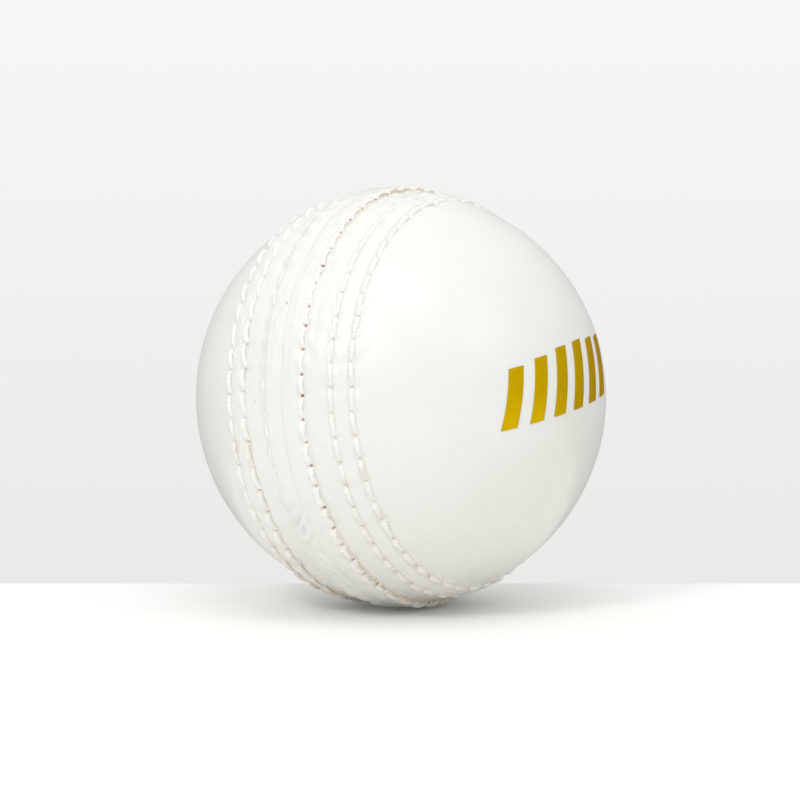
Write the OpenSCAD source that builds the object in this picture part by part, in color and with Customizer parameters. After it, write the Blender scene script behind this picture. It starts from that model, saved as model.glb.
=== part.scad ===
// Cricket ball with a two-piece leather cover, six sewn rows and a wound cork core.
// The origin is the ball's centre. The seam lies in the YZ plane, and the foil mark faces +X.

/* [Cover] */
// Radius of the smooth cheeks
cheek_r = 35.5; // [35.2:0.1:35.8]
// Thickness of each leather cup at the cheeks
leather_t = 3.2; // [3:0.1:3.4]
// Thickness of the lining glued inside each cup
lining_t = 0.8; // [0.6:0.1:0.9]
// Height of the crown beside the joint, above the cheeks
crown_h = 0.9; // [0.8:0.05:1]
// Height of the strip beside the crown, above the cheeks
strip_h = 0.25; // [0.2:0.05:0.3]
// Height of the ridge between the middle and outer rows, above the cheeks
ridge_h = 0.5; // [0.4:0.05:0.6]

/* [Sewing] */
// Angle from the joint to each closing row, about the ball's centre
closing_deg = 6.1; // [5.9:0.1:6.3]
// Angle from the joint to each middle row
middle_deg = 14.5; // [14.3:0.1:14.7]
// Angle from the joint to each outer row
outer_deg = 20.4; // [20.2:0.1:20.6]
// Number of stitches in each closing row
closing_count = 56; // [50:1:60]
// Number of stitches in each middle and outer row
row_count = 51; // [46:1:54]
// Diameter of the thread on the surface
thread_d = 0.8; // [0.7:0.05:0.85]

/* [Core] */
// Radius of the nucleus of cork and rubber
nucleus_r = 11.5; // [10:0.5:13]
// Thickness of each cork layer
cork_t = 1.6; // [1:0.1:2]

/* [Mark] */
// Number of slanted bars in the foil mark
bar_count = 6; // [3:1:7]
// Height of the tallest bar
bar_h = 11.5; // [8:0.5:12]
// Width of each bar
bar_w = 2.9; // [2.4:0.1:3]
// Angle that the row of bars rises by
bar_rise_deg = 12; // [0:1:20]
// Thickness of the pressed foil
foil_t = 0.1; // [0.08:0.01:0.15]

/* [Hidden] */

// Clearance between neighbouring pieces, and half the gap between the two cups
clear = 0.05;

// Radii of the arcs that round the crown, the strip and the ridge
crown_round = 6;
strip_round = 8;
ridge_round = 7;

// The thread is pulled a little thinner in the leather, behind the lining and across the joint
thread_r = thread_d / 2;
leg_r = thread_r - 0.05;
run_r = thread_r - 0.06;
cross_rod_r = thread_r - 0.1;
hole_r = leg_r + 0.07;
groove_half_w = thread_r + 3 * clear;

// How far a hole tool reaches past the surface that it cuts
reach = 2;

// Each surface stitch takes this share of its pitch, and its leg fills the rest
stitch_share = 0.94;
leg_rise = 0.2;

// Where each row has its first hole, as a share of its pitch from the top of the ball
closing_start = 0;
row_start = 0.5;

// The lining, the hidden run of thread behind it, and the core inside that
lining_outer_r = cheek_r - leather_t - clear;
lining_inner_r = lining_outer_r - lining_t;
run_path_r = lining_inner_r - clear - run_r;
core_r = run_path_r - run_r - clear;

// Radius from the seam's axis at which the closing thread crosses the joint
cross_r = cheek_r - leather_t / 2;
cross_half = cross_r * tan(closing_deg);
corner_r = cross_r / cos(closing_deg);

// The windings share what the nucleus, the cork and the clearances leave of the core
yarn_layers = 5;
cork_layers = 4;
layer_gap = 0.1;
yarn_t = (core_r - nucleus_r - cork_layers * cork_t - (yarn_layers + cork_layers) * layer_gap)
    / yarn_layers;
layer_pitch = yarn_t + cork_t + 2 * layer_gap;

// Height of the surface at a row, where the arc beside it has fallen away from its top
function fall(round_r, top_h, deg) =
    round_r - sqrt(pow(round_r, 2) - pow((cheek_r + top_h) * sin(deg), 2));
closing_h = crown_h - fall(crown_round, crown_h, closing_deg / 2);
outer_h = ridge_h - fall(ridge_round, ridge_h, (outer_deg - middle_deg) / 2);

// Pitch of the bars in the mark, and how much of its height each one loses from the middle outwards
bar_step = 1.9 * bar_w;
bar_shrink = 0.05;

// Facets of the large revolved shapes, the rounding arcs and the threads
shell_fn = 180;
arc_fn = 120;
thread_fn = 24;

// Turns a shape made about +Z so that it lies about the seam's axis, +X, and starts at the top
module about_seam_axis() rotate([0, 90, 0]) rotate([0, 0, 180]) children();

// Moves a flat shape out along a ray at an angle from the joint
module on_ray(deg, r) rotate([0, 0, deg]) translate([r, 0]) children();

module rounding_arc(deg, top_h, round_r)
    on_ray(deg, cheek_r + top_h - round_r) circle(r = round_r, $fn = arc_fn);

// Places a shape on a radius of the ball, at an angle from the joint and a turn round the seam
module on_radius(deg, turn, r)
    rotate([0, 0, turn]) rotate([0, 90 - deg, 0]) translate([0, 0, r]) children();

module radial_rod(deg, turn, from_r, to_r, r)
    on_radius(deg, turn, from_r) cylinder(r = r, h = to_r - from_r, $fn = thread_fn);

// A rod that crosses the joint, inside the leather
module cross_rod(turn, from_x, to_x, r)
    rotate([0, 0, turn]) translate([cross_r, 0, from_x])
        cylinder(r = r, h = to_x - from_x, $fn = thread_fn);

// Groove for one row, with its floor on a sphere about the ball's centre
module groove(deg, h) {
    half_deg = asin(groove_half_w / cheek_r);
    far = 2 * cheek_r;
    difference() {
        polygon([
            [0, 0],
            [far * cos(deg - half_deg), far * sin(deg - half_deg)],
            [far * cos(deg + half_deg), far * sin(deg + half_deg)]
        ]);
        circle(r = cheek_r + h - thread_r - 2 * clear, $fn = 2 * shell_fn);
    }
}

// The half of a hollow ball on the right of the joint
module half_shell(outer_r, inner_r)
    rotate_extrude($fn = shell_fn) intersection() {
        difference() {
            circle(r = outer_r, $fn = 2 * shell_fn);
            circle(r = inner_r, $fn = 2 * shell_fn);
        }
        translate([0, clear]) square(outer_r + reach);
    }

// Section of the right cup, with one groove for each row of stitches
module cover_section()
    intersection() {
        difference() {
            union() {
                circle(r = cheek_r, $fn = 2 * shell_fn);
                rounding_arc(closing_deg / 2, crown_h, crown_round);
                rounding_arc((closing_deg + middle_deg) / 2, strip_h, strip_round);
                rounding_arc((middle_deg + outer_deg) / 2, ridge_h, ridge_round);
            }
            circle(r = cheek_r - leather_t, $fn = 2 * shell_fn);
            groove(closing_deg, closing_h);
            groove(middle_deg, outer_h);
            groove(outer_deg, outer_h);
        }
        translate([0, clear]) square(cheek_r + reach);
    }

// Awl holes of the middle and outer rows, which go through the leather and the lining
module row_holes()
    for (k = [0 : row_count - 1])
        for (deg = [middle_deg, outer_deg])
            radial_rod(deg, (k + row_start) * 360 / row_count, run_path_r, cheek_r + reach, hole_r);

// Awl holes of the closing row, which turn inside the leather and come out at the joint
module closing_holes()
    for (k = [0 : closing_count - 1]) {
        turn = (k + closing_start) * 360 / closing_count;
        radial_rod(closing_deg, turn, corner_r - hole_r, cheek_r + reach, hole_r);
        cross_rod(turn, 0, cross_half, hole_r);
    }

module right_cup()
    about_seam_axis() difference() {
        rotate_extrude($fn = shell_fn) cover_section();
        row_holes();
        closing_holes();
    }

module right_lining_cup()
    about_seam_axis() difference() {
        half_shell(lining_outer_r, lining_inner_r);
        row_holes();
    }

// One ring of surface stitches, each an arc between two holes
module surface_stitches(deg, h, count, start)
    translate([0, 0, (cheek_r + h) * sin(deg)])
        for (k = [0 : count - 1])
            rotate([0, 0, (k + start + (1 - stitch_share) / 2) * 360 / count])
                rotate_extrude(angle = stitch_share * 360 / count, $fn = shell_fn)
                    translate([(cheek_r + h) * cos(deg), 0]) circle(r = thread_r, $fn = thread_fn);

// The thread of one row: its surface stitches, a leg in each hole and its run behind the lining
module row_thread(deg)
    about_seam_axis() {
        surface_stitches(deg, outer_h, row_count, row_start);
        translate([0, 0, run_path_r * sin(deg)])
            rotate_extrude($fn = shell_fn)
                translate([run_path_r * cos(deg), 0]) circle(r = run_r, $fn = thread_fn);
        for (k = [0 : row_count - 1])
            radial_rod(
                deg, (k + row_start) * 360 / row_count, run_path_r, cheek_r + outer_h + leg_rise, leg_r
            );
    }

// A wound layer of yarn, counted from the nucleus
module yarn_layer(n)
    color("wheat") difference() {
        sphere(r = nucleus_r + n * layer_pitch - cork_t - layer_gap, $fn = shell_fn);
        sphere(r = nucleus_r + n * layer_pitch - cork_t - layer_gap - yarn_t, $fn = shell_fn);
    }

// A cork layer of two pressed cups, split across a plane that turns from layer to layer
module cork_layer(n)
    color("peru") difference() {
        sphere(r = nucleus_r + n * layer_pitch, $fn = shell_fn);
        sphere(r = nucleus_r + n * layer_pitch - cork_t, $fn = shell_fn);
        rotate([0, 90 * (n % 2), 45 * n]) cube([4 * core_r, 4 * core_r, 2 * clear], center = true);
    }

// Parallelogram that leans like a slanted bar
module bar(x, h) translate([x, 0]) polygon([[0, 0], [bar_w, 0], [bar_w + h / 3, h], [h / 3, h]]);

// Bars that grow towards the middle of the row, which stands a little above the cheek's pole
module bar_row()
    rotate(bar_rise_deg) translate([-(bar_step * (bar_count - 1) + bar_w) / 2 - bar_h / 6, -bar_h / 3])
        for (k = [0 : bar_count - 1])
            bar(k * bar_step, bar_h * (1 - bar_shrink * abs(k - (bar_count - 1) / 2)));

module nucleus() color("saddlebrown") sphere(r = nucleus_r, $fn = shell_fn);
module yarn_layer_1() yarn_layer(1);
module yarn_layer_2() yarn_layer(2);
module yarn_layer_3() yarn_layer(3);
module yarn_layer_4() yarn_layer(4);
module yarn_layer_5() yarn_layer(5);
module cork_layer_1() cork_layer(1);
module cork_layer_2() cork_layer(2);
module cork_layer_3() cork_layer(3);
module cork_layer_4() cork_layer(4);
module right_lining() color("tan") right_lining_cup();
module left_lining() color("tan") mirror([1, 0, 0]) right_lining_cup();
module right_cover() color("white") right_cup();
module left_cover() color("white") mirror([1, 0, 0]) right_cup();
module right_middle_thread() color("ivory") row_thread(middle_deg);
module right_outer_thread() color("ivory") row_thread(outer_deg);
module left_middle_thread() color("ivory") mirror([1, 0, 0]) row_thread(middle_deg);
module left_outer_thread() color("ivory") mirror([1, 0, 0]) row_thread(outer_deg);

// The thread that joins the cups: it shows in the row on each side and crosses under the joint
module closing_thread()
    color("ivory") about_seam_axis() {
        for (side = [-1, 1])
            surface_stitches(side * closing_deg, closing_h, closing_count, closing_start);
        for (k = [0 : closing_count - 1]) {
            turn = (k + closing_start) * 360 / closing_count;
            for (side = [-1, 1])
                radial_rod(
                    side * closing_deg, turn, corner_r - leg_r, cheek_r + closing_h + leg_rise, leg_r
                );
            cross_rod(turn, -cross_half, cross_half, cross_rod_r);
        }
    }

// Foil bars that follow the round cheek
module foil_mark()
    color("goldenrod") intersection() {
        difference() {
            sphere(r = cheek_r + clear + foil_t, $fn = shell_fn);
            sphere(r = cheek_r + clear, $fn = shell_fn);
        }
        rotate([90, 0, 90]) linear_extrude(cheek_r + reach) bar_row();
    }

nucleus();
yarn_layer_1();
cork_layer_1();
yarn_layer_2();
cork_layer_2();
yarn_layer_3();
cork_layer_3();
yarn_layer_4();
cork_layer_4();
yarn_layer_5();
left_lining();
right_lining();
left_cover();
right_cover();
left_outer_thread();
left_middle_thread();
closing_thread();
right_middle_thread();
right_outer_thread();
foil_mark();
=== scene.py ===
"""Looks for the cricket ball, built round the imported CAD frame.

Lengths are in millimetres until a mesh is made. A place on the ball is given by deg, its angle from the
joint (positive on the right cup, which faces +X), and by turn, its angle round the seam from the top.
"""

import math

import bpy
import numpy as np
from mathutils import Matrix, Vector


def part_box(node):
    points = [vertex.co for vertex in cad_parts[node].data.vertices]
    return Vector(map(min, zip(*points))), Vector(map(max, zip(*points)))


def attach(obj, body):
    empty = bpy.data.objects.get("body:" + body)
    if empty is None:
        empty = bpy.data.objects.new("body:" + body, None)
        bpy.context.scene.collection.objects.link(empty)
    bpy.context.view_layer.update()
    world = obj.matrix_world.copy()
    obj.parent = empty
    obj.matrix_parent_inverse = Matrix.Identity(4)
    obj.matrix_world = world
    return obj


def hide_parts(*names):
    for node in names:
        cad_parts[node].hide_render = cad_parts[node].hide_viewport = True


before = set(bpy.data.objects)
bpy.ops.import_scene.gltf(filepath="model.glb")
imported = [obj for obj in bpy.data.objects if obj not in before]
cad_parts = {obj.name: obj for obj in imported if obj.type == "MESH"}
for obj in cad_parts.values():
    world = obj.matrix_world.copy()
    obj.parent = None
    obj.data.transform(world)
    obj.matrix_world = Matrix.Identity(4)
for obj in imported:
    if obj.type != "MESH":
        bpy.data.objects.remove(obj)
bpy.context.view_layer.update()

MM = 0.001

# ---------------------------------------------------------------- sizes, read from the frame


def extent(node, axis):
    """A CAD node's highest coordinate along an axis."""
    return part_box(node)[1]["xyz".index(axis)] / MM


# The clearance between pieces that lie on each other, and the radius of the thread on the leather
COVER_GAP = 0.05
THREAD_R = 0.4

CHEEK_R = extent("right_cover", "x")
LINING_R = extent("right_lining", "z")
CORE_R = extent("yarn_layer_5", "z")
COVER_INNER_R = LINING_R + COVER_GAP

# The hidden run of a row's thread, between the core and the lining
RUN_TUBE_R = 0.34
RUN_R = CORE_R + COVER_GAP + RUN_TUBE_R


def row_degrees(node):
    """A thread row's angle from the joint, from the box of its CAD node."""
    return math.degrees(math.atan2(extent(node, "x") - THREAD_R, extent(node, "z") - THREAD_R))


CLOSING_DEG = row_degrees("closing_thread")
MIDDLE_DEG = row_degrees("right_middle_thread")
OUTER_DEG = row_degrees("right_outer_thread")
CLOSING_COUNT = 56
ROW_COUNT = 51

# How far the holes of a row stray, as spreads in degrees along and across it
TURN_STRAY = 0.22
DEG_STRAY = 0.12

# How much the holes of a row differ, as ranges of factors
PIT_SPREAD = (0.75, 1.2)
DARK_SPREAD = (0.3, 1.1)
TICK_SPREAD = (0.2, 1.2)


class Row:
    """One row of stitches: its angle from the joint, its holes, and how each of them differs.

    pit is how deeply the thread pulls the leather in, and how strong the painted shade beside its groove is;
    dark is how brown a hole is, tick is the strength of the short crease beside it, and crease is the depth
    of a fold that runs beside the whole row.
    """

    def __init__(self, deg, count, first_turn, seed, pit, dark, tick, crease=0.0):
        rng = np.random.default_rng(seed)
        self.deg = deg
        self.count = count
        self.first_turn = first_turn
        self.pitch_deg = 360 / count
        self.crease = crease
        self.turn_jitter = rng.normal(0, TURN_STRAY, count)
        self.deg_jitter = rng.normal(0, DEG_STRAY, count)
        self.pit = pit * rng.uniform(*PIT_SPREAD, count)
        self.dark = dark * rng.uniform(*DARK_SPREAD, count)
        self.tick = tick * rng.uniform(*TICK_SPREAD, count)

    def hole_turns(self):
        return self.first_turn + np.arange(self.count) * self.pitch_deg + self.turn_jitter

    def hole_degs(self):
        return self.deg + self.deg_jitter


HALF_PITCH = 180 / ROW_COUNT
ROWS = {
    "left_outer": Row(-OUTER_DEG, ROW_COUNT, HALF_PITCH, 11, pit=0.75, dark=0.35, tick=0.2),
    "left_middle": Row(-MIDDLE_DEG, ROW_COUNT, HALF_PITCH, 12, pit=0.75, dark=0.5, tick=0.3),
    "left_closing": Row(-CLOSING_DEG, CLOSING_COUNT, 0.0, 13, pit=0.2, dark=0.05, tick=0.1),
    "right_closing": Row(CLOSING_DEG, CLOSING_COUNT, 0.0, 14, pit=0.6, dark=1.3, tick=0.0, crease=0.1),
    "right_middle": Row(MIDDLE_DEG, ROW_COUNT, HALF_PITCH, 15, pit=0.7, dark=0.4, tick=1.0),
    "right_outer": Row(OUTER_DEG, ROW_COUNT, HALF_PITCH, 16, pit=0.7, dark=0.45, tick=1.0),
}

# ---------------------------------------------------------------- shape of the leather

# Height above the cheek at angles from the joint, before smoothing: joint, crown, strip, ridge, cheek
SECTION = (
    (0.0, 0.78), (1.5, 0.84), (3.0, 0.9), (5.0, 0.84), (6.1, 0.6), (7.0, 0.22), (8.4, 0.05),
    (10.5, 0.17), (13.0, 0.16), (14.5, 0.22), (15.8, 0.48), (17.5, 0.58), (19.2, 0.46),
    (20.4, 0.2), (21.6, 0.08), (24.0, 0.02), (26.0, 0.0), (90.0, 0.0),
)
SECTION_STEP = 0.05
SECTION_BLUR = 0.28


def smooth_section():
    """The section sampled finely and blurred, as angles and heights."""
    degs = np.arange(-5, 91, SECTION_STEP)
    heights = np.interp(np.abs(degs), *zip(*SECTION))
    reach = np.arange(-3 * SECTION_BLUR, 3 * SECTION_BLUR + SECTION_STEP, SECTION_STEP)
    kernel = np.exp(-0.5 * (reach / SECTION_BLUR) ** 2)
    return degs, np.convolve(heights, kernel / kernel.sum(), mode="same")


SECTION_CURVE = smooth_section()


def section_height(deg):
    return np.interp(np.abs(deg), *SECTION_CURVE)


def ball_point(deg, turn, r):
    """Points on rays from the ball's centre; the arguments broadcast."""
    from_joint = np.radians(deg)
    round_seam = np.radians(turn)
    x = r * np.sin(from_joint)
    y = -r * np.cos(from_joint) * np.sin(round_seam)
    z = r * np.cos(from_joint) * np.cos(round_seam)
    return np.stack(np.broadcast_arrays(x, y, z), -1)


RIPPLE_WAVES = 20
RIPPLE_SPREAD = (0.7, 1.5)


def ripples(points, wavelength, seed):
    """A smooth random field about 0 with a spread of 1, as a sum of plane waves."""
    rng = np.random.default_rng(seed)
    directions = rng.normal(size=(RIPPLE_WAVES, 3))
    directions /= np.linalg.norm(directions, axis=1)[:, None]
    numbers = 2 * np.pi / (wavelength * rng.uniform(*RIPPLE_SPREAD, RIPPLE_WAVES))
    phases = rng.uniform(0, 2 * np.pi, RIPPLE_WAVES)
    total = np.zeros(points.shape[:-1])
    for d, k, phase in zip(directions, numbers, phases):
        total += np.sin(points @ (d * k) + phase)
    return total * math.sqrt(2 / RIPPLE_WAVES)


# Across the seam a streak's phase turns by this many radians a degree, and along it by this many waves
STREAK_WAVES = 24
STREAK_SEED = 31
STREAK_ACROSS = (1.6, 4.2)
STREAK_ALONG = (6, 34)


def streaks(deg, turn):
    """A smooth random field of long low folds that run along the seam."""
    rng = np.random.default_rng(STREAK_SEED)
    total = np.zeros(np.broadcast(deg, turn).shape)
    for _ in range(STREAK_WAVES):
        across = rng.uniform(*STREAK_ACROSS) * rng.choice([-1, 1])
        along = rng.integers(*STREAK_ALONG)
        total += np.sin(across * deg + np.radians(along * turn) + rng.uniform(0, 2 * np.pi))
    return total * math.sqrt(2 / STREAK_WAVES)


def bump(x, centre, width):
    """A smooth hump of height 1."""
    return np.exp(-0.5 * ((x - centre) / width) ** 2)


def top_of(hump, gain, cut):
    """The upper part of a hump, with a flat top of height 1."""
    return np.clip(hump * gain - cut, 0, 1)


def even_turns(count):
    """Evenly spaced turns round the whole ball."""
    return np.arange(count) * 360 / count


MM_PER_DEG = math.radians(1) * CHEEK_R

# A stitch hole and the pit round it
HOLE_ALONG = 0.22
HOLE_ACROSS = 0.17
PIT_DEPTH = 0.6

# The groove under the thread, and the lip on each side of it
GROOVE_WIDTH = 0.3
GROOVE_DEPTH = 0.08
LIP_OFFSET = 0.62
LIP_WIDTH = 0.2
LIP_SHARE = 0.8

# The swelling of the leather between holes
SWELL_OFFSET = 0.9
SWELL_WIDTH = 0.42
SWELL_HEIGHT = 0.11

# The short crease that leaves each hole, and the speck of dirt at its end
TICK_LENGTH = 1.0
TICK_LEAN = 0.45
TICK_START = 0.1
TICK_WIDTH = 0.13
TICK_DEPTH = 0.15
SPECK_WIDTH = 0.14
SPECK_SHADE = 0.15

# The fold that runs beside a whole row, and the painted shade along both sides of the thread's groove
CREASE_OFFSET = 0.8
CREASE_WIDTH = 0.2
OUTLINE_SHADE_OFFSET = 0.56
OUTLINE_SHADE_WIDTH = 0.12
OUTLINE_PAINTED_SHADE = 0.2


def row_relief(row, deg, turn):
    """What one row does to the leather: (height, darkness).

    The thread presses a groove along the row and pulls a pit at each hole. A short crease runs from the hole
    away from the joint, and the leather swells between one hole and the next. A grey-brown line of painted
    shade lines the groove's sides.
    """
    along = (turn - row.first_turn) / row.pitch_deg
    k = np.round(along).astype(int) % row.count
    mm_per_turn = MM_PER_DEG * math.cos(math.radians(row.deg))
    span = (along - np.round(along)) * row.pitch_deg
    s = (span - row.turn_jitter[k]) * mm_per_turn
    across = (deg - row.deg) * MM_PER_DEG
    b = across - row.deg_jitter[k] * MM_PER_DEG
    hole = bump(s, 0, HOLE_ALONG) * bump(b, 0, HOLE_ACROSS)
    groove = bump(across, 0, GROOVE_WIDTH) - LIP_SHARE * bump(np.abs(across), LIP_OFFSET, LIP_WIDTH)
    swell = np.cos(2 * np.pi * span / row.pitch_deg) * bump(np.abs(across), SWELL_OFFSET, SWELL_WIDTH)
    outward = b * (1 if row.deg > 0 else -1)
    tick_line = bump(s + TICK_LEAN * outward, -TICK_START, TICK_WIDTH)
    tick_line *= bump(outward, TICK_LENGTH / 2, TICK_LENGTH / 3)
    height = -PIT_DEPTH * row.pit[k] * hole - GROOVE_DEPTH * groove - SWELL_HEIGHT * swell
    height -= TICK_DEPTH * row.tick[k] * tick_line + row.crease * bump(outward, CREASE_OFFSET, CREASE_WIDTH)
    tick_end = bump(outward, TICK_LENGTH, SPECK_WIDTH) * tick_line
    speck = SPECK_SHADE * row.tick[k] * top_of(tick_end, gain=5, cut=0.3)
    # Painted shade: a grey-brown line along both sides of the groove, where the raised thread shades the
    # leather
    outline_shade = OUTLINE_PAINTED_SHADE * row.pit[k] * bump(np.abs(across), OUTLINE_SHADE_OFFSET, OUTLINE_SHADE_WIDTH)
    return height, row.dark[k] * top_of(hole, gain=1.7, cut=0.6) + speck + outline_shade


# Unevenness of the leather: wavelength, height and seed
SEAM_LUMPS = ((8, 0.065, 21), (3, 0.032, 22))
CHEEK_LUMP = (14, 0.005, 23)
SEAM_END_DEG = 27
SEAM_FADE_DEG = 5
STREAK_HEIGHT = 0.022
STREAK_SPREAD = 4.5

# The shallow groove where the edges of the cups meet, and the waves it wanders by: degrees, number, start
JOINT_DEPTH = 0.035
JOINT_UNEVEN = (12, 0.03, 24)
JOINT_WIDTH = 0.8
JOINT_WAVES = ((0.3, 7, 0), (0.2, 19, 40))

# Folds pressed in beside the joint: turn, spread, tilt and depth
WRINKLES = ((127, 5, 1, 0.34), (150, 10, -0.7, 0.3), (61, 7, 0.5, 0.13), (-140, 9, 0.8, 0.25))
WRINKLE_DEG = -3.2
WRINKLE_WIDTH = 1.4
WRINKLE_ALONG = 1.5
WRINKLE_ACROSS = 1.7

# A needle hole beside the joint: deg and turn
NEEDLE_HOLE = (-1.2, 63.9)
NEEDLE_SPREAD = 0.2


def lumps(points, wavelength, height, seed):
    return height * ripples(points, wavelength, seed)


# How far from its own angle a row still shapes the leather
ROW_REACH_DEG = 4


def leather_height(deg, turn):
    """(height above the cheek, darkness, stain) of the outer surface of both cups."""
    points = ball_point(deg, turn, CHEEK_R)
    seam = np.clip((SEAM_END_DEG - np.abs(deg)) / SEAM_FADE_DEG, 0, 1)
    height = section_height(deg) + seam * sum(lumps(points, *lump) for lump in SEAM_LUMPS)
    height += STREAK_HEIGHT * streaks(deg, turn) * bump(deg, 0, STREAK_SPREAD)
    height += lumps(points, *CHEEK_LUMP)
    wander = sum(reach * np.sin(np.radians(number * turn + start)) for reach, number, start in JOINT_WAVES)
    height -= (JOINT_DEPTH + lumps(points, *JOINT_UNEVEN)) * bump(deg, wander, JOINT_WIDTH)
    for centre, spread, tilt, depth in WRINKLES:
        fold = np.sin((turn - centre) * WRINKLE_ALONG * tilt + deg * WRINKLE_ACROSS) ** 3
        height += depth * fold * bump(turn, centre, spread) * bump(deg, WRINKLE_DEG, WRINKLE_WIDTH)
    dark = bump(deg, NEEDLE_HOLE[0], NEEDLE_SPREAD) * bump(turn, NEEDLE_HOLE[1], NEEDLE_SPREAD)
    height -= NEEDLE_SPREAD * dark
    for row in ROWS.values():
        near = np.abs(deg - row.deg) < ROW_REACH_DEG
        relief, row_dark = row_relief(row, deg, turn)
        height += np.where(near, relief, 0)
        dark = np.maximum(dark, np.where(near, row_dark, 0))
    return height, np.clip(dark, 0, 1), stain(deg, turn)


# Where the threads were tied off and left a stain: row, turn and spread along the row
TIE_OFFS = (
    ("left_outer", 104, 3.0), ("left_middle", 106, 4.0), ("right_middle", 116, 1.3),
    ("right_outer", 113, 2.0), ("left_outer", -96, 3.0), ("right_outer", -120, 3.0),
)
TIE_OFF_SHADE = 0.5
TIE_OFF_SIDE = 0.4
TIE_OFF_WIDTH = 0.7

# Grime low on the ball, beside three rows and thinly all over, and round the top beside the closing row.
# Each sets in at a turn and grows over a span of turn. A line lies on the right of its row.
LOW_TURN = 115
LOW_SPAN = 45
LOW_SHADE = 0.8
LOW_SIDE = 0.75
LOW_FILM = 0.12
TOP_TURN = 45
TOP_SPAN = 30
TOP_SHADE = 0.6
TOP_SIDE = 0.5
LINE_WIDTH = 0.4


def stain(deg, turn):
    """How far old glue and handling have browned the leather or the thread, from 0 to 1."""
    turn = (turn + 180) % 360 - 180
    total = 0.0
    for name, tie_turn, spread in TIE_OFFS:
        blot = bump(deg, ROWS[name].deg + TIE_OFF_SIDE, TIE_OFF_WIDTH) * bump(turn, tie_turn, spread)
        total = total + TIE_OFF_SHADE * blot
    low = np.clip((np.abs(turn) - LOW_TURN) / LOW_SPAN, 0, 1)
    top = np.clip((TOP_TURN - np.abs(turn)) / TOP_SPAN, 0, 1)
    for row_deg in (-MIDDLE_DEG, -OUTER_DEG, CLOSING_DEG):
        total = total + LOW_SHADE * low * bump(deg, row_deg + LOW_SIDE, LINE_WIDTH)
    total = total + TOP_SHADE * top * bump(deg, CLOSING_DEG + TOP_SIDE, LINE_WIDTH)
    return np.clip(total + LOW_FILM * low, 0, 1)


# ---------------------------------------------------------------- mesh building


def make_piece(name, points, face_blocks, replaced, slot, material, values=None):
    """A mesh piece from points in millimetres and blocks of faces with equal numbers of corners."""
    volume = 0.0
    for block in face_blocks:
        a = points[block[:, 0]]
        for i in range(1, block.shape[1] - 1):
            volume += np.einsum("ij,ij->", a, np.cross(points[block[:, i]], points[block[:, i + 1]]))
    if volume < 0:
        face_blocks = [block[:, ::-1] for block in face_blocks]
    mesh = bpy.data.meshes.new(name)
    corners = np.concatenate([block.ravel() for block in face_blocks])
    counts = np.concatenate([np.full(len(block), block.shape[1]) for block in face_blocks])
    starts = np.concatenate([[0], np.cumsum(counts)[:-1]])
    mesh.vertices.add(len(points))
    mesh.vertices.foreach_set("co", (points * MM).astype(np.float32).ravel())
    mesh.loops.add(len(corners))
    mesh.loops.foreach_set("vertex_index", corners.astype(np.int32))
    mesh.polygons.add(len(counts))
    mesh.polygons.foreach_set("loop_start", starts.astype(np.int32))
    mesh.update(calc_edges=True)
    mesh.polygons.foreach_set("use_smooth", np.ones(len(counts), bool))
    for key, data in (values or {}).items():
        layer = mesh.attributes.new(key, "FLOAT", "POINT")
        layer.data.foreach_set("value", data.astype(np.float32))
    mesh.materials.append(material)
    piece = bpy.data.objects.new(name, mesh)
    bpy.context.scene.collection.objects.link(piece)
    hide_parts(*replaced)
    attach(piece, "root")
    return piece


def join_rings(sizes):
    """Faces between rings of points that follow one another.

    A ring may have half or twice the points of the ring before it, and a pole is a ring of one point.
    """
    blocks, start = [], 0
    for n, m in zip(sizes[:-1], sizes[1:]):
        first, second = start, start + n
        if n == 1 or m == 1:
            ring, tip, size = (second, first, m) if n == 1 else (first, second, n)
            j = np.arange(size)
            fan = np.stack([ring + j, ring + (j + 1) % size, np.full(size, tip)], 1)
            blocks.append(fan[:, ::-1] if n == 1 else fan)
        elif n == m:
            j = np.arange(n)
            k = (j + 1) % n
            blocks.append(np.stack([first + j, first + k, second + k, second + j], 1))
        elif n == 2 * m:
            j = np.arange(m)
            k = (j + 1) % m
            blocks.append(np.stack(
                [first + 2 * j, first + 2 * j + 1, first + 2 * k, second + k, second + j], 1))
        elif m == 2 * n:
            j = np.arange(n)
            k = (j + 1) % n
            blocks.append(np.stack(
                [first + j, first + k, second + 2 * k, second + 2 * j + 1, second + 2 * j], 1))
        start += n
    return blocks


# Rings of points on a cup. They are fine over the seam, and then get coarser in stretches towards the pole,
# each with its last angle and its step.
SEAM_COLUMNS = 1568
SEAM_START_DEG = 0.35
SEAM_STEP_DEG = 0.235
FINE_END_DEG = 25.0
CHEEK_STRETCHES = ((40, 0.5), (58, 1.0), (76, 1.5), (88.5, 2.5))

# Rings of the inside under the seam, shares of the way up the edge, and the rounding of its outer corner
INSIDE_DEGS = (20, 14, 8, 3)
EDGE_SHARES = (0.0, 0.35, 0.7, 0.88)
EDGE_DEG = 0.1
CORNER_DEGS = (0.03, 0.16)

# The pressed joint is tighter than the clearance between the CAD cups
JOINT_GAP = 0.004


def cup_rings():
    """Rings of a cup's surface from the seam to the pole: (angle, number of points)."""
    rings = [(deg, SEAM_COLUMNS) for deg in np.arange(SEAM_START_DEG, FINE_END_DEG, SEAM_STEP_DEG)]
    columns = SEAM_COLUMNS // 2
    deg = FINE_END_DEG
    for limit, step in CHEEK_STRETCHES:
        while deg < limit:
            rings.append((deg, columns))
            deg += step
        columns //= 2
    return rings


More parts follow.
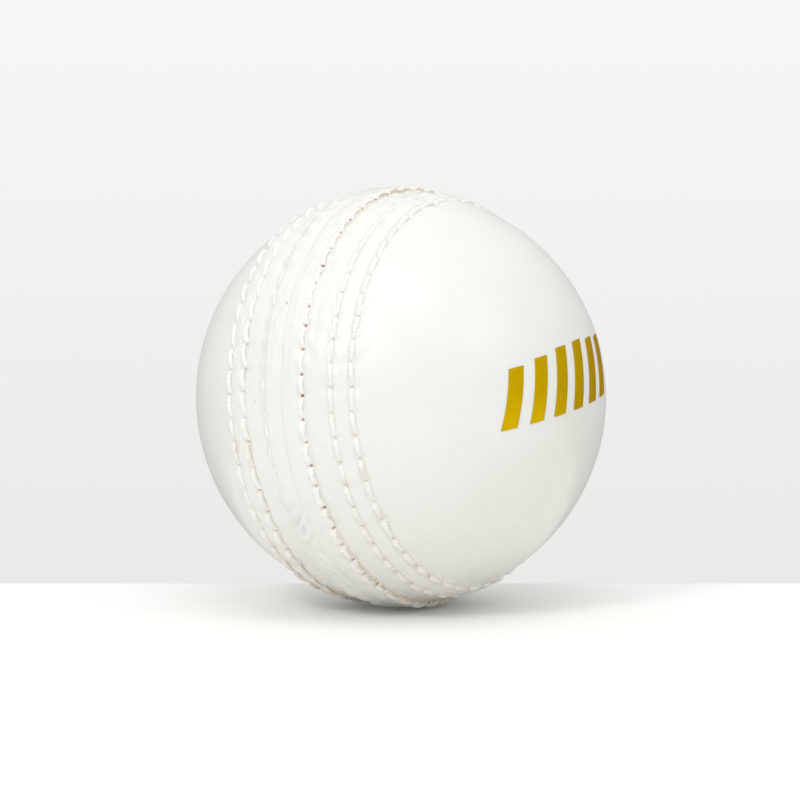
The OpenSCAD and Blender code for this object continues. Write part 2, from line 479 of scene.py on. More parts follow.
def make_cover(side, material):
    """One leather cup: inner sphere, edge at the joint, then the outer surface."""
    rings, darks, stains = [], [], []

    def add_ring(deg, turns, r, dark=0.0, stained=0.0):
        rings.append(ball_point(side * deg, turns, r))
        darks.append(np.broadcast_to(dark, len(turns)))
        stains.append(np.broadcast_to(stained, len(turns)))

    surface = cup_rings()
    add_ring(90.0, np.zeros(1), COVER_INNER_R)
    for deg, columns in reversed([ring for ring in surface if ring[0] >= FINE_END_DEG]):
        add_ring(deg, even_turns(columns), COVER_INNER_R)
    turns = even_turns(SEAM_COLUMNS)
    for deg in INSIDE_DEGS:
        add_ring(deg, turns, COVER_INNER_R)
    edge_height = leather_height(np.full(SEAM_COLUMNS, side * EDGE_DEG), turns)[0]
    for share in EDGE_SHARES:
        r = COVER_INNER_R + share * (CHEEK_R + edge_height - COVER_INNER_R)
        add_ring(np.degrees(np.arcsin(JOINT_GAP / r)), turns, r)
    for deg, columns in [(deg, SEAM_COLUMNS) for deg in CORNER_DEGS] + surface:
        turns = even_turns(columns)
        height, dark, stained = leather_height(np.full(columns, side * deg), turns)
        add_ring(deg, turns, CHEEK_R + height, dark, stained)
    add_ring(90.0, np.zeros(1), CHEEK_R)
    name = "right_cover" if side > 0 else "left_cover"
    blocks = join_rings([len(r) for r in rings])
    # The pit value holds the holes' colour and the painted shade beside the threads
    return make_piece(
        name + "_leather", np.concatenate(rings), blocks, [name], "white_leather", material,
        {"pit": np.concatenate(darks), "stain": np.concatenate(stains)})


# ---------------------------------------------------------------- thread


PLIES = 3
PLY_DEPTH = 0.14
TWIST_PER_MM = 8.0
THREAD_SIDES = 18


def sweep(paths, radii):
    """Twisted threads along many paths at once: ((points, faces), how deep each point is between plies).

    paths has the shape (tubes, steps, 3), and radii has the shape (tubes, steps).
    """
    tubes, steps, _ = paths.shape
    tangent = np.gradient(paths, axis=1)
    tangent /= np.linalg.norm(tangent, axis=-1, keepdims=True)
    middle = paths[:, steps // 2]
    outward = middle / np.linalg.norm(middle, axis=-1, keepdims=True)
    chord = paths[:, -1] - paths[:, 0]
    across = np.cross(chord, outward)
    across /= np.linalg.norm(across, axis=-1, keepdims=True)
    across = np.broadcast_to(across[:, None, :], paths.shape)
    across = across - (across * tangent).sum(-1, keepdims=True) * tangent
    across /= np.linalg.norm(across, axis=-1, keepdims=True)
    normal = np.cross(across, tangent)
    lengths = np.concatenate(
        [np.zeros((tubes, 1)), np.cumsum(np.linalg.norm(np.diff(paths, axis=1), axis=-1), 1)], 1)
    phi = np.arange(THREAD_SIDES) * 2 * np.pi / THREAD_SIDES
    wave = np.cos(PLIES * phi - (lengths * TWIST_PER_MM)[..., None])
    r = radii[..., None] * (1 + PLY_DEPTH * wave)
    points = (
        paths[:, :, None, :]
        + (r * np.cos(phi))[..., None] * across[:, :, None, :]
        + (r * np.sin(phi))[..., None] * normal[:, :, None, :]
    )
    index = np.arange(tubes * steps * THREAD_SIDES).reshape(tubes, steps, THREAD_SIDES)
    turned = np.roll(index, -1, axis=2)
    quads = np.stack([index[:, :-1], turned[:, :-1], turned[:, 1:], index[:, 1:]], -1).reshape(-1, 4)
    caps = [index[:, 0, ::-1], index[:, -1]]
    return (points.reshape(-1, 3), [quads] + caps), np.clip(-wave, 0, 1).ravel()


STITCH_STEPS = 42

# How far below the leather the ends of a stitch lie, and how sharply it dives to them
DIVE = 1.1
DIVE_POWER = 0.42

# A thread is thinner where it enters a hole, and thicker along the lower half of the ball
END_SHARE = 0.72
END_POWER = 0.6
LOW_THICKENING = 0.25
THICK_TURN = 90
THICK_SPAN = 40

# How a stitch sinks and tapers along its length: above 1, mostly near its tail
SINK_POWER = 1.5
TAPER_POWER = 1.2

# How much the stitches of a row differ: ranges of factors, and a distance in millimetres for the crest
SLANT_SPREAD = (0.5, 1.5)
BOW_SPREAD = (0.4, 1.6)
CROSSING_SPREAD = (0.6, 1.2)
DROP_SPREAD = (0.5, 1.5)
THICKNESS_SPREAD = (0.9, 1.1)
CREST_SPREAD = 0.05


def row_stitches(row, crest, head_r, tail_r, tail_drop, slant, bow, inset, strand=0.0):
    """Paths and radii of a row's surface stitches, each from one hole to the next.

    The head is the end nearer the top. The middle of the thread stands crest above the leather there. It
    tapers from head_r to tail_r and sinks by tail_drop. It leans outward by slant at its head, bows outward
    by bow, and comes out of the leather at inset from the middle of each hole. Two strands laid side by
    side have opposite values of strand, half the distance between them.
    """
    rng = np.random.default_rng(row.count + int(1000 + 10 * row.deg))

    def each(spread):
        """One random number for each stitch, as a column."""
        return rng.uniform(*spread, row.count)[:, None]

    turns = row.hole_turns()
    degs = row.hole_degs()
    next_turns = np.append(turns[1:], turns[0] + 360)
    next_degs = np.append(degs[1:], degs[0])
    theta = np.linspace(0, np.pi, STITCH_STEPS)
    share = (1 - np.cos(theta)) / 2
    margin = inset / (MM_PER_DEG * math.cos(math.radians(row.deg)))
    turn = turns[:, None] + margin + (next_turns - turns - 2 * margin)[:, None] * share
    lean = slant * each(SLANT_SPREAD) * np.cos(theta)
    bowed = bow * each(BOW_SPREAD) * np.sin(theta)
    beside = strand * np.sqrt(np.sin(theta)) * np.cos(np.pi * share * each(CROSSING_SPREAD))
    side = 1 if row.deg > 0 else -1
    deg = degs[:, None] + (next_degs - degs)[:, None] * share
    deg = deg + side * (lean + bowed + beside) / MM_PER_DEG
    crests = crest + each((-CREST_SPREAD, CREST_SPREAD))
    drops = tail_drop * each(DROP_SPREAD)
    rise = np.sin(theta) ** DIVE_POWER
    height = section_height(deg) + (crests + DIVE) * rise - DIVE - drops * share ** SINK_POWER
    low = np.clip((np.abs((turns + 180) % 360 - 180) - THICK_TURN) / THICK_SPAN, 0, 1)
    thickness = each(THICKNESS_SPREAD) * (1 + LOW_THICKENING * low)[:, None]
    taper = head_r + (tail_r - head_r) * share ** TAPER_POWER
    ends = END_SHARE + (1 - END_SHARE) * np.sin(theta) ** END_POWER
    return ball_point(deg, turn, CHEEK_R + height), thickness * taper * ends


# A leg's radius as a share of the radius at the end of its stitch
LEG_SHARE = 0.8


def with_legs(paths, radii, foot_r):
    """Adds to each tube a straight leg at both ends, down to a radius of the ball."""

    def leg(end, shares):
        foot = end / np.linalg.norm(end, axis=-1, keepdims=True) * foot_r
        return foot + (end - foot) * np.array(shares)[None, :, None]

    thin = LEG_SHARE * radii[:, :1]
    all_paths = [leg(paths[:, :1], (0, 0.5)), paths, leg(paths[:, -1:], (0.5, 0))]
    return np.concatenate(all_paths, 1), np.concatenate([thin, thin, radii, thin, thin], 1)


def merge(*parts):
    """Joins (points, face blocks) pairs into one pair."""
    points, blocks, start = [], [], 0
    for part_points, part_blocks in parts:
        points.append(part_points)
        blocks += [block + start for block in part_blocks]
        start += len(part_points)
    return np.concatenate(points), blocks


RUN_STEPS = 239
RUN_SIDES = 12


def run_ring(deg):
    """The hidden run of a row's thread behind the lining, a closed tube round the seam's axis."""
    centre = ball_point(deg, even_turns(RUN_STEPS), RUN_R)
    outward = centre * np.array([0, 1, 1])
    outward /= np.linalg.norm(outward, axis=-1, keepdims=True)
    axis = np.array([1.0, 0, 0])
    phi = np.arange(RUN_SIDES)[None, :, None] * 2 * np.pi / RUN_SIDES
    points = centre[:, None] + RUN_TUBE_R * (np.cos(phi) * outward[:, None] + np.sin(phi) * axis)
    index = np.arange(RUN_STEPS * RUN_SIDES).reshape(RUN_STEPS, RUN_SIDES)
    ahead = np.roll(index, -1, 0)
    quads = np.stack([index, ahead, np.roll(ahead, -1, 1), np.roll(index, -1, 1)], -1)
    return points.reshape(-1, 3), [quads.reshape(-1, 4)]


# The dark mouth of a hole on the thread, and the strength of the painted shade between the thread's plies
MOUTH_OFFSET = 0.1
MOUTH_WIDTH = 0.3
MOUTH_LENGTH = 0.22
PLY_SHADE = 0.22


def thread_marks(points, grooves):
    """The thread's pit and stain values: it is dark where it enters the holes, and the stain value also
    carries painted shade between its plies.
    """
    r = np.linalg.norm(points, axis=1)
    deg = np.degrees(np.arcsin(points[:, 0] / r))
    turn = np.degrees(np.arctan2(-points[:, 1], points[:, 2]))
    dark = np.zeros(len(points))
    for name in ("right_closing", "left_middle", "right_middle", "right_outer"):
        row = ROWS[name]
        along = (turn - row.first_turn) / row.pitch_deg
        k = np.round(along).astype(int) % row.count
        s = ((along - np.round(along)) * row.pitch_deg - row.turn_jitter[k]) * MM_PER_DEG
        near = bump((deg - row.deg) * MM_PER_DEG, MOUTH_OFFSET, MOUTH_WIDTH)
        mouth = top_of(bump(s, 0, MOUTH_LENGTH), gain=1.6, cut=0.5)
        dark = np.maximum(dark, near * row.dark[k] * mouth)
    # Painted shade between the plies goes into the stain value, beside the thread's real stains
    return {"pit": np.clip(dark, 0, 1), "stain": np.maximum(stain(deg, turn), PLY_SHADE * grooves)}


def make_row_thread(name, shape, material):
    row = ROWS[name]
    stitches, grooves = sweep(*with_legs(*row_stitches(row, **shape), RUN_R))
    points, blocks = merge(stitches, run_ring(row.deg))
    grooves = np.pad(grooves, (0, len(points) - len(grooves)))
    return make_piece(
        name + "_stitches", points, blocks, [name + "_thread"], "linen_thread", material,
        thread_marks(points, grooves))


CROSS_R = (CHEEK_R + COVER_INNER_R) / 2
CROSS_THREAD_R = 0.28
CROSS_STEPS = 6

# The closing row of the right cup shows both strands of the doubled thread, each this far from its middle
STRAND_OFFSET = 0.24


def cross_strands():
    """The strands of the closing thread that pass from cup to cup under the joint."""
    left, right = ROWS["left_closing"], ROWS["right_closing"]
    a = ball_point(left.hole_degs(), left.hole_turns(), CROSS_R)
    b = ball_point(right.hole_degs(), right.hole_turns(), CROSS_R)
    share = np.linspace(0, 1, CROSS_STEPS)[None, :, None]
    paths = a[:, None] * (1 - share) + b[:, None] * share
    return sweep(paths, np.full(paths.shape[:2], CROSS_THREAD_R))


def make_closing_thread(left_shape, right_shape, material):
    strands = [("left_closing", left_shape)]
    strands += [("right_closing", dict(right_shape, strand=side * STRAND_OFFSET)) for side in (-1, 1)]
    parts = [sweep(*with_legs(*row_stitches(ROWS[name], **shape), CROSS_R)) for name, shape in strands]
    parts.append(cross_strands())
    points, blocks = merge(*(mesh for mesh, _ in parts))
    grooves = np.concatenate([part_grooves for _, part_grooves in parts])
    return make_piece(
        "closing_stitches", points, blocks, ["closing_thread"], "linen_thread", material,
        thread_marks(points, grooves))


# ---------------------------------------------------------------- core

LAYER_GAP = 0.1
YARN_LAYERS = 5
YARN_R = 0.75
BUNDLE_STRANDS = 5
BUNDLE_PITCH = 1.95 * YARN_R
BUNDLES_PER_MM = 2

# How far a bundle strays from a great circle, as a share of the ball's radius, and how deep it may lie, as a
# share of the yarn's radius
BUNDLE_STRAY = 0.2
BUNDLE_SINK = 0.9
WINDING_SEED = 40

# The deepest that the windings go, as a share of their layer's thickness
DEEPEST_SHARE = 0.4

# Distances between the points of a mesh
YARN_SPACING = 0.34
INSIDE_SPACING = 1.0
NUCLEUS_SPACING = 0.3

# Grains of the nucleus: wavelengths with seeds, the depth of a pit and how many depths it may reach
GRAIN_WAVES = ((1.6, 51), (0.8, 52))
GRAIN_DEPTH = 0.05
GRAIN_LIMIT = 4

# A ring of a sphere loses half of its points at most this many times, from the middle to a pole
HALVINGS = 6


def sphere_rings(r, spacing):
    """Rings of a whole sphere, from pole to pole, with points about spacing apart: (angle, points)."""
    block = 2 ** HALVINGS
    columns = block * max(2, round(2 * math.pi * r / spacing / block))
    bands = round(math.pi * r / spacing)
    rings = [(-90.0, 1)]
    for deg in np.linspace(-90, 90, bands + 1)[1:-1]:
        halvings = int(math.log2(1 / math.cos(math.radians(deg))))
        rings.append((deg, columns // 2 ** min(halvings, HALVINGS)))
    return rings + [(90.0, 1)]


def sphere_mesh(rings, radius_at):
    """Points of all the rings, at the radius that radius_at gives for their unit directions, and faces."""
    ways = np.concatenate([ball_point(deg, even_turns(n), 1.0) for deg, n in rings])
    return ways * radius_at(ways)[:, None], join_rings([n for _, n in rings])


def winding_height(ways, r, seed):
    """How far each point of a wound ball lies below its outer radius, as a negative height.

    Bundles of yarn go round it in random planes, and the highest strand shows.
    """
    rng = np.random.default_rng(seed)
    top = np.full(len(ways), -2 * YARN_R)
    for _ in range(round(BUNDLES_PER_MM * r)):
        axis = rng.normal(size=3)
        axis /= np.linalg.norm(axis)
        start = rng.uniform(-BUNDLE_STRAY, BUNDLE_STRAY) * r
        level = rng.uniform(-BUNDLE_SINK, 0) * YARN_R
        place = ways @ axis * r
        for j in range(BUNDLE_STRANDS):
            off = place - start - j * BUNDLE_PITCH
            strand = level + np.sqrt(np.clip(YARN_R ** 2 - off ** 2, 0, None)) - YARN_R
            top = np.where(np.abs(off) < YARN_R, np.maximum(top, strand), top)
    return top


def make_yarn_layer(n, material):
    """A hollow ball of wound yarn, over the nucleus or the cork layer inside it."""
    node = f"yarn_layer_{n}"
    inside = "nucleus" if n == 1 else f"cork_layer_{n - 1}"
    outer_r = extent(node, "x")
    inner_r = extent(inside, "x") + LAYER_GAP

    def wound(ways):
        height = winding_height(ways, outer_r, WINDING_SEED + n)
        return outer_r + np.maximum(height, DEEPEST_SHARE * (inner_r - outer_r))

    def plain(ways):
        return np.full(len(ways), inner_r)

    points, blocks = sphere_mesh(sphere_rings(inner_r, INSIDE_SPACING), plain)
    inner = points, [block[:, ::-1] for block in blocks]
    outer = sphere_mesh(sphere_rings(outer_r, YARN_SPACING), wound)
    return make_piece(node + "_windings", *merge(outer, inner), [node], "wool_yarn", material)


def make_nucleus(material):
    """The middle of the core, a ball of cork grains pressed in rubber."""
    r = extent("nucleus", "x")

    def grained(ways):
        depth = 1 + sum(ripples(ways * r, *wave) for wave in GRAIN_WAVES)
        return r - GRAIN_DEPTH * np.clip(depth, 0, GRAIN_LIMIT)

    points, blocks = sphere_mesh(sphere_rings(r, NUCLEUS_SPACING), grained)
    return make_piece("nucleus_ball", points, blocks, ["nucleus"], "cork_rubber", material)


# ---------------------------------------------------------------- materials


def new_material(name):
    material = bpy.data.materials.new(name)
    material.use_nodes = True
    tree = material.node_tree
    return material, tree, tree.nodes["Principled BSDF"]


def add_node(tree, kind, **settings):
    """A node with its properties set, and its inputs where the name is one of theirs."""
    node = tree.nodes.new(kind)
    for key, value in settings.items():
        if key in node.inputs:
            node.inputs[key].default_value = value
        else:
            setattr(node, key, value)
    return node


def mix_colour(tree, factor, a, b):
    """Colour a where the factor is 0 and b where it is 1; each is a socket or a colour."""
    node = add_node(tree, "ShaderNodeMix", data_type="RGBA")
    for socket, value in ((node.inputs[0], factor), (node.inputs[6], a), (node.inputs[7], b)):
        if isinstance(value, bpy.types.NodeSocket):
            tree.links.new(value, socket)
        else:
            socket.default_value = value
    return node.outputs[2]


def place_in_object(tree):
    """The place on the object, in metres, from one node for the whole material."""
    place = tree.nodes.get("Texture Coordinate") or tree.nodes.new("ShaderNodeTexCoord")
    return place.outputs["Object"]


def noise(tree, scale, detail=3.0, roughness=0.5):
    node = add_node(tree, "ShaderNodeTexNoise", Scale=scale, Detail=detail, Roughness=roughness)
    tree.links.new(place_in_object(tree), node.inputs["Vector"])
    return node.outputs["Fac"]


def map_range(tree, value, low, high, to_low, to_high):
    node = tree.nodes.new("ShaderNodeMapRange")
    tree.links.new(value, node.inputs["Value"])
    for i, number in enumerate((low, high, to_low, to_high)):
        node.inputs[i + 1].default_value = number
    return node.outputs["Result"]


def bump_normal(tree, shader, height, distance, strength):
    node = add_node(tree, "ShaderNodeBump", Strength=strength, Distance=distance)
    tree.links.new(height, node.inputs["Height"])
    tree.links.new(node.outputs["Normal"], shader.inputs["Normal"])


def varied_roughness(tree, shader, scale, low, high):
    """Roughness that drifts between two values."""
    drift = map_range(tree, noise(tree, scale), 0.3, 0.7, low, high)
    tree.links.new(drift, shader.inputs["Roughness"])


def set_coat(shader, weight, roughness):
    shader.inputs["Coat Weight"].default_value = weight
    shader.inputs["Coat Roughness"].default_value = roughness


BROWNED = (0.64, 0.52, 0.33, 1)
# A hole's rim colour, which also colours the painted shade along the threads' grooves
HOLE_RIM_AND_SHADE = (0.42, 0.33, 0.27, 1)
HOLE_MIDDLE = (0.42, 0.14, 0.07, 1)


def marked(tree, base):
    """A base colour browned by the stain value and darkened by the pit value; both values also carry painted
    shade.
    """
    stain_and_shade = add_node(tree, "ShaderNodeAttribute", attribute_name="stain")
    patches = map_range(tree, noise(tree, 900, 3, 0.6), 0.35, 0.65, 0.25, 1)
    amount = add_node(tree, "ShaderNodeMath", operation="MULTIPLY")
    tree.links.new(stain_and_shade.outputs["Fac"], amount.inputs[0])
    tree.links.new(patches, amount.inputs[1])
    browned = mix_colour(tree, amount.outputs[0], base, BROWNED)
    # The pit value mixes in the holes' colour and the painted shade beside the threads
    pit = add_node(tree, "ShaderNodeAttribute", attribute_name="pit")
    hole = mix_colour(tree, pit.outputs["Fac"], HOLE_RIM_AND_SHADE, HOLE_MIDDLE)
    return mix_colour(tree, pit.outputs["Fac"], browned, hole)


def pores(tree):
    """1 in a few tiny specks, and 0 elsewhere."""
    cells = add_node(tree, "ShaderNodeTexVoronoi", Scale=170)
    tree.links.new(place_in_object(tree), cells.inputs["Vector"])
    split = tree.nodes.new("ShaderNodeSeparateColor")
    tree.links.new(cells.outputs["Color"], split.inputs[0])
    chosen = add_node(tree, "ShaderNodeMath", operation="MULTIPLY")
    tree.links.new(map_range(tree, cells.outputs["Distance"], 0.02, 0.045, 0.7, 0), chosen.inputs[0])
    tree.links.new(map_range(tree, split.outputs[0], 0.8, 0.82, 0, 1), chosen.inputs[1])
    return chosen.outputs[0]


def white_leather():
    material, tree, shader = new_material("white_leather")
    mottle = map_range(tree, noise(tree, 120, 4), 0.3, 0.7, 0, 1)
    base = mix_colour(tree, mottle, (0.785, 0.79, 0.76, 1), (0.772, 0.778, 0.745, 1))
    leather_colour = mix_colour(tree, pores(tree), marked(tree, base), (0.3, 0.22, 0.16, 1))
    tree.links.new(leather_colour, shader.inputs["Base Color"])
    varied_roughness(tree, shader, 400, 0.3, 0.4)
    set_coat(shader, 0.4, 0.17)
    bump_normal(tree, shader, noise(tree, 1800, 4, 0.6), 0.00002, 0.6)
    return material


def linen_thread():
    material, tree, shader = new_material("linen_thread")
    base = mix_colour(tree, noise(tree, 900), (0.91, 0.91, 0.89, 1), (0.82, 0.815, 0.79, 1))
    tree.links.new(marked(tree, base), shader.inputs["Base Color"])
    shader.inputs["Roughness"].default_value = 0.4
    set_coat(shader, 0.3, 0.2)
    bump_normal(tree, shader, noise(tree, 3500), 0.00008, 0.8)
    return material


def gold_foil():
    material, tree, shader = new_material("gold_foil")
    colour = mix_colour(tree, noise(tree, 260, 4), (0.60, 0.38, 0.0, 1), (0.72, 0.48, 0.002, 1))
    tree.links.new(colour, shader.inputs["Base Color"])
    shader.inputs["Metallic"].default_value = 0.9
    shader.inputs["Specular Tint"].default_value = (0.5, 0.36, 0.0, 1)
    varied_roughness(tree, shader, 900, 0.35, 0.5)
    bump_normal(tree, shader, noise(tree, 2500), 0.00001, 0.5)
    return material


def grains(tree, scale):
    """(random value of each grain, distance to its edge) of a packing of grains."""
    cells = add_node(tree, "ShaderNodeTexVoronoi", Scale=scale)
    edges = add_node(tree, "ShaderNodeTexVoronoi", feature="DISTANCE_TO_EDGE", Scale=scale)
    for node in (cells, edges):
        tree.links.new(place_in_object(tree), node.inputs["Vector"])
    split = tree.nodes.new("ShaderNodeSeparateColor")
    tree.links.new(cells.outputs["Color"], split.inputs[0])
    return split.outputs[0], edges.outputs["Distance"]


def grain_material(name, pale, dark, binder, scale, roughness):
    """Cork: grains that run from pale to dark, with the binder showing between them."""
    material, tree, shader = new_material(name)
    shade, edge = grains(tree, scale)
    speckled = mix_colour(tree, noise(tree, scale * 2, 4), pale, dark)
    grain = mix_colour(tree, map_range(tree, shade, 0.2, 0.9, 0, 1), speckled, dark)
    seam = map_range(tree, edge, 0.0, 0.09, 0.0, 1.0)
    tree.links.new(mix_colour(tree, seam, binder, grain), shader.inputs["Base Color"])
    shader.inputs["Roughness"].default_value = roughness
    bump_normal(tree, shader, seam, 0.0002, 0.6)
    return material


def wool_yarn():
    material, tree, shader = new_material("wool_yarn")
    colour = mix_colour(tree, noise(tree, 350, 4), (0.62, 0.55, 0.43, 1), (0.45, 0.38, 0.28, 1))
    tree.links.new(colour, shader.inputs["Base Color"])
    shader.inputs["Roughness"].default_value = 0.9
    shader.inputs["Sheen Weight"].default_value = 0.4
    bump_normal(tree, shader, noise(tree, 2600, 4, 0.7), 0.0002, 0.8)
    return material


def lining_leather():
    material, tree, shader = new_material("lining_leather")
    colour = mix_colour(tree, noise(tree, 200, 5), (0.50, 0.33, 0.19, 1), (0.38, 0.24, 0.13, 1))
    tree.links.new(colour, shader.inputs["Base Color"])
    varied_roughness(tree, shader, 900, 0.7, 0.9)
    bump_normal(tree, shader, noise(tree, 1500, 5, 0.7), 0.0001, 0.7)
    return material


def dress(node, material):
    """Gives a CAD node that stays its material."""
    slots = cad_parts[node].data.materials
    slots.clear()
    slots.append(material)


# ---------------------------------------------------------------- stage

# The seam's axis as the camera sees it: x to the right, y up and z towards the camera
AXIS_SEEN = Vector((0.8276, 0.0458, 0.5594)).normalized()

# The camera looks down on the table by an angle, from far away and through a long lens
CAMERA_RISE_DEG = 7.0
CAMERA_DISTANCE_MM = 40 * CHEEK_R
SENSOR_MM = 36
LENS_MM = 369.065

# How far to the right and above the ball's centre the camera's line of sight passes
AIM_MM = (-0.1853, -0.5194)


def camera_axes():
    """The camera's right, up and back directions in the row frame."""
    top = (Vector((0, 1, 0)) - AXIS_SEEN * AXIS_SEEN.y).normalized()
    front = AXIS_SEEN.cross(top)
    return Matrix((AXIS_SEEN, -front, top))


def make_camera(axes):
    data = bpy.data.cameras.new("camera")
    data.sensor_width = SENSOR_MM
    data.lens = LENS_MM
    data.clip_start = 0.05
    data.clip_end = 20
    camera = bpy.data.objects.new("camera", data)
    seen = Vector((*AIM_MM, CAMERA_DISTANCE_MM)) * MM
    camera.matrix_world = Matrix.Translation(axes @ seen) @ axes.to_4x4()
    bpy.context.scene.collection.objects.link(camera)
    bpy.context.scene.camera = camera


def stage_axes(axes):
    """Right, away-from-camera and up directions of the room, in the row frame."""
    rise = math.radians(CAMERA_RISE_DEG)
    up = axes @ Vector((0, math.cos(rise), math.sin(rise)))
    right = axes @ Vector((1, 0, 0))
    away = up.cross(right)
    return right, away, up


def table_material():
    material, tree, shader = new_material("pale_table")
    colour = mix_colour(tree, noise(tree, 30), (0.88, 0.88, 0.87, 1), (0.87, 0.87, 0.86, 1))
    tree.links.new(colour, shader.inputs["Base Color"])
    shader.inputs["Roughness"].default_value = 0.6
    return material


# How far the table's top goes from the ball's centre, and its thickness and rounding, in metres
TABLE_BEHIND = 0.027
TABLE_FRONT = 0.9
TABLE_SIDE = 0.9
TABLE_DEPTH = 0.03
TABLE_ROUND = 0.0015
ROUND_STEPS = 6


def make_table(room, low):
    """A slab with its top touching the ball's lowest point. low is that point along the room's up."""
    right, away, up = room
    outline = [(TABLE_BEHIND, -TABLE_DEPTH)]
    outline += [
        (TABLE_BEHIND - TABLE_ROUND * (1 - math.cos(a)), -TABLE_ROUND * (1 - math.sin(a)))
        for a in np.linspace(0, math.pi / 2, ROUND_STEPS)
    ]
    outline += [(-TABLE_FRONT, 0), (-TABLE_FRONT, -TABLE_DEPTH)]
    points = []
    for x in (-TABLE_SIDE, TABLE_SIDE):
        points += [right * x + away * y + up * (z + low) for y, z in outline]
    n = len(outline)
    faces = [tuple(range(n)), tuple(range(2 * n - 1, n - 1, -1))]
    faces += [(j, n + j, n + (j + 1) % n, (j + 1) % n) for j in range(n)]
    mesh = bpy.data.meshes.new("table")
    mesh.from_pydata([tuple(p) for p in points], [], faces)
    mesh.update()
    mesh.materials.append(table_material())
    table = bpy.data.objects.new("table", mesh)
    bpy.context.scene.collection.objects.link(table)
    return table


LIGHT_DISTANCE = 1.2


def area_light(name, room, azimuth, elevation, size, watts, colour=(1, 1, 1)):
    """A soft square light that faces the ball. Azimuth 0 is the camera's side, and 90 is to its right."""
    right, away, up = room
    az, el = math.radians(azimuth), math.radians(elevation)
    level = right * math.sin(az) - away * math.cos(az)
    at = (level * math.cos(el) + up * math.sin(el)) * LIGHT_DISTANCE
    data = bpy.data.lights.new(name, "AREA")
    data.size = size
    data.energy = watts
    data.color = colour
    lamp = bpy.data.objects.new(name, data)
    lamp.matrix_world = Matrix.Translation(at) @ at.to_track_quat("Z", "Y").to_matrix().to_4x4()
    bpy.context.scene.collection.objects.link(lamp)
    return lamp


def light_only(lamp, piece):
    """Keeps a light to one piece of the stage, and lets nothing else block it."""
    lit = bpy.data.collections.new(lamp.name + "_receivers")
    lit.objects.link(piece)
    lamp.light_linking.receiver_collection = lit
    lamp.light_linking.blocker_collection = lit


# The light all round starts to grow this far below the horizon, as the sine of the angle
SKY_START = -0.3

# The wall's colour at the top of the picture and at the table, darker there as painted shade, and the height
# where it starts to pale
WALL_TOP = (0.93, 0.93, 0.913, 1)
WALL_SHADED_BOTTOM = (0.815, 0.815, 0.799, 1)
WALL_START = 0.25


def make_world(up, low_level, high_level):
    """Light all round that grows towards the zenith. The camera sees a pale wall instead, with painted shade
    that darkens it towards the table.
    """
    world = bpy.data.worlds.new("room")
    bpy.context.scene.world = world
    world.use_nodes = True
    tree = world.node_tree
    shade = tree.nodes["Background"]
    shade.inputs["Color"].default_value = (1, 1, 0.99, 1)
    place = tree.nodes.new("ShaderNodeTexCoord")
    climb = add_node(tree, "ShaderNodeVectorMath", operation="DOT_PRODUCT")
    tree.links.new(place.outputs["Generated"], climb.inputs[0])
    climb.inputs[1].default_value = up
    level = map_range(tree, climb.outputs["Value"], SKY_START, 1, low_level, high_level)
    tree.links.new(level, shade.inputs["Strength"])
    wall = tree.nodes.new("ShaderNodeBackground")
    split = tree.nodes.new("ShaderNodeSeparateXYZ")
    tree.links.new(place.outputs["Window"], split.inputs[0])
    rise = map_range(tree, split.outputs["Y"], WALL_START, 1, 0, 1)
    # Painted shade on the wall: darker towards the table
    tree.links.new(mix_colour(tree, rise, WALL_SHADED_BOTTOM, WALL_TOP), wall.inputs["Color"])
    path = tree.nodes.new("ShaderNodeLightPath")
    mix = tree.nodes.new("ShaderNodeMixShader")
    tree.links.new(path.outputs["Is Camera Ray"], mix.inputs[0])
    tree.links.new(shade.outputs[0], mix.inputs[1])
    tree.links.new(wall.outputs[0], mix.inputs[2])
    tree.links.new(mix.outputs[0], tree.nodes["World Output"].inputs["Surface"])


def lowest(pieces, up):
    """The ball's lowest point along the room's up direction."""
    low = 0.0
    for piece in pieces:
        co = np.empty(len(piece.data.vertices) * 3, np.float32)
        piece.data.vertices.foreach_get("co", co)
        low = min(low, float((co.reshape(-1, 3) @ np.array(up)).min()))
    return low


# ---------------------------------------------------------------- build

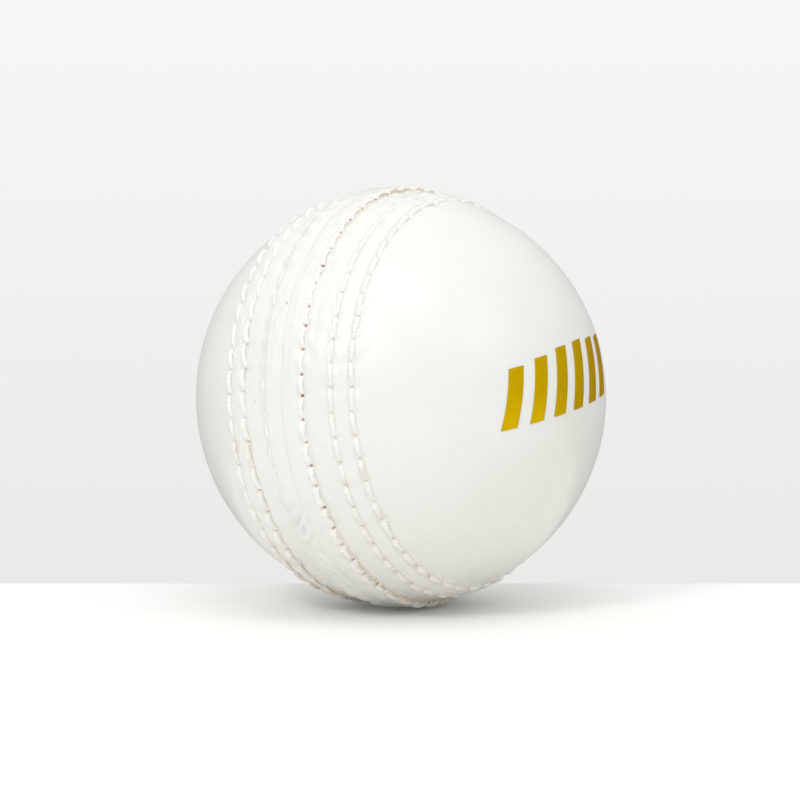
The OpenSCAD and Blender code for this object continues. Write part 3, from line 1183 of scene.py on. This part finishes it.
leather = white_leather()
thread = linen_thread()
skins = [make_cover(side, leather) for side in (-1, 1)]
crescent = dict(
    crest=0.02, head_r=0.52, tail_r=0.42, tail_drop=0.1, slant=0.27, bow=0.2, inset=0.24)
teardrop = dict(
    crest=-0.04, head_r=0.56, tail_r=0.3, tail_drop=0.32, slant=-0.04, bow=0.0, inset=0.22)
buried = dict(crest=-0.27, head_r=0.34, tail_r=0.3, tail_drop=0.05, slant=0.25, bow=0.3, inset=0.2)
closing = dict(crest=0.02, head_r=0.37, tail_r=0.35, tail_drop=0.06, slant=-0.05, bow=-0.22, inset=0.27)
threads = [
    make_row_thread("left_outer", dict(crescent, crest=0.14), thread),
    make_row_thread("left_middle", crescent, thread),
    make_row_thread("right_middle", teardrop, thread),
    make_row_thread("right_outer", teardrop, thread),
    make_closing_thread(buried, closing, thread),
]
dress("foil_mark", gold_foil())

lining = lining_leather()
dress("left_lining", lining)
dress("right_lining", lining)
cork = grain_material(
    "cork", pale=(0.52, 0.34, 0.17, 1), dark=(0.30, 0.17, 0.07, 1), binder=(0.12, 0.06, 0.03, 1),
    scale=700, roughness=0.8)
for n in range(1, YARN_LAYERS):
    dress(f"cork_layer_{n}", cork)
wool = wool_yarn()
for n in range(1, YARN_LAYERS + 1):
    make_yarn_layer(n, wool)
make_nucleus(grain_material(
    "cork_rubber", pale=(0.36, 0.20, 0.10, 1), dark=(0.18, 0.09, 0.05, 1), binder=(0.03, 0.025, 0.022, 1),
    scale=900, roughness=0.65))

axes = camera_axes()
make_camera(axes)
room = stage_axes(axes)
table = make_table(room, lowest(skins + threads, room[2]))
area_light("key_light", room, azimuth=-30, elevation=38, size=0.25, watts=3.2)
area_light("top_light", room, azimuth=5, elevation=68, size=0.5, watts=1.5)
area_light("right_light", room, azimuth=60, elevation=38, size=0.5, watts=0.6)
for side, azimuth in (("left", -75), ("right", 75)):
    lamp = area_light(
        side + "_table_light", room, azimuth, elevation=18, size=0.6, watts=1.5, colour=(1, 0.99, 0.965))
    light_only(lamp, table)
make_world(room[2], low_level=0.37, high_level=1.14)
bpy.context.scene.view_settings.view_transform = "Standard"
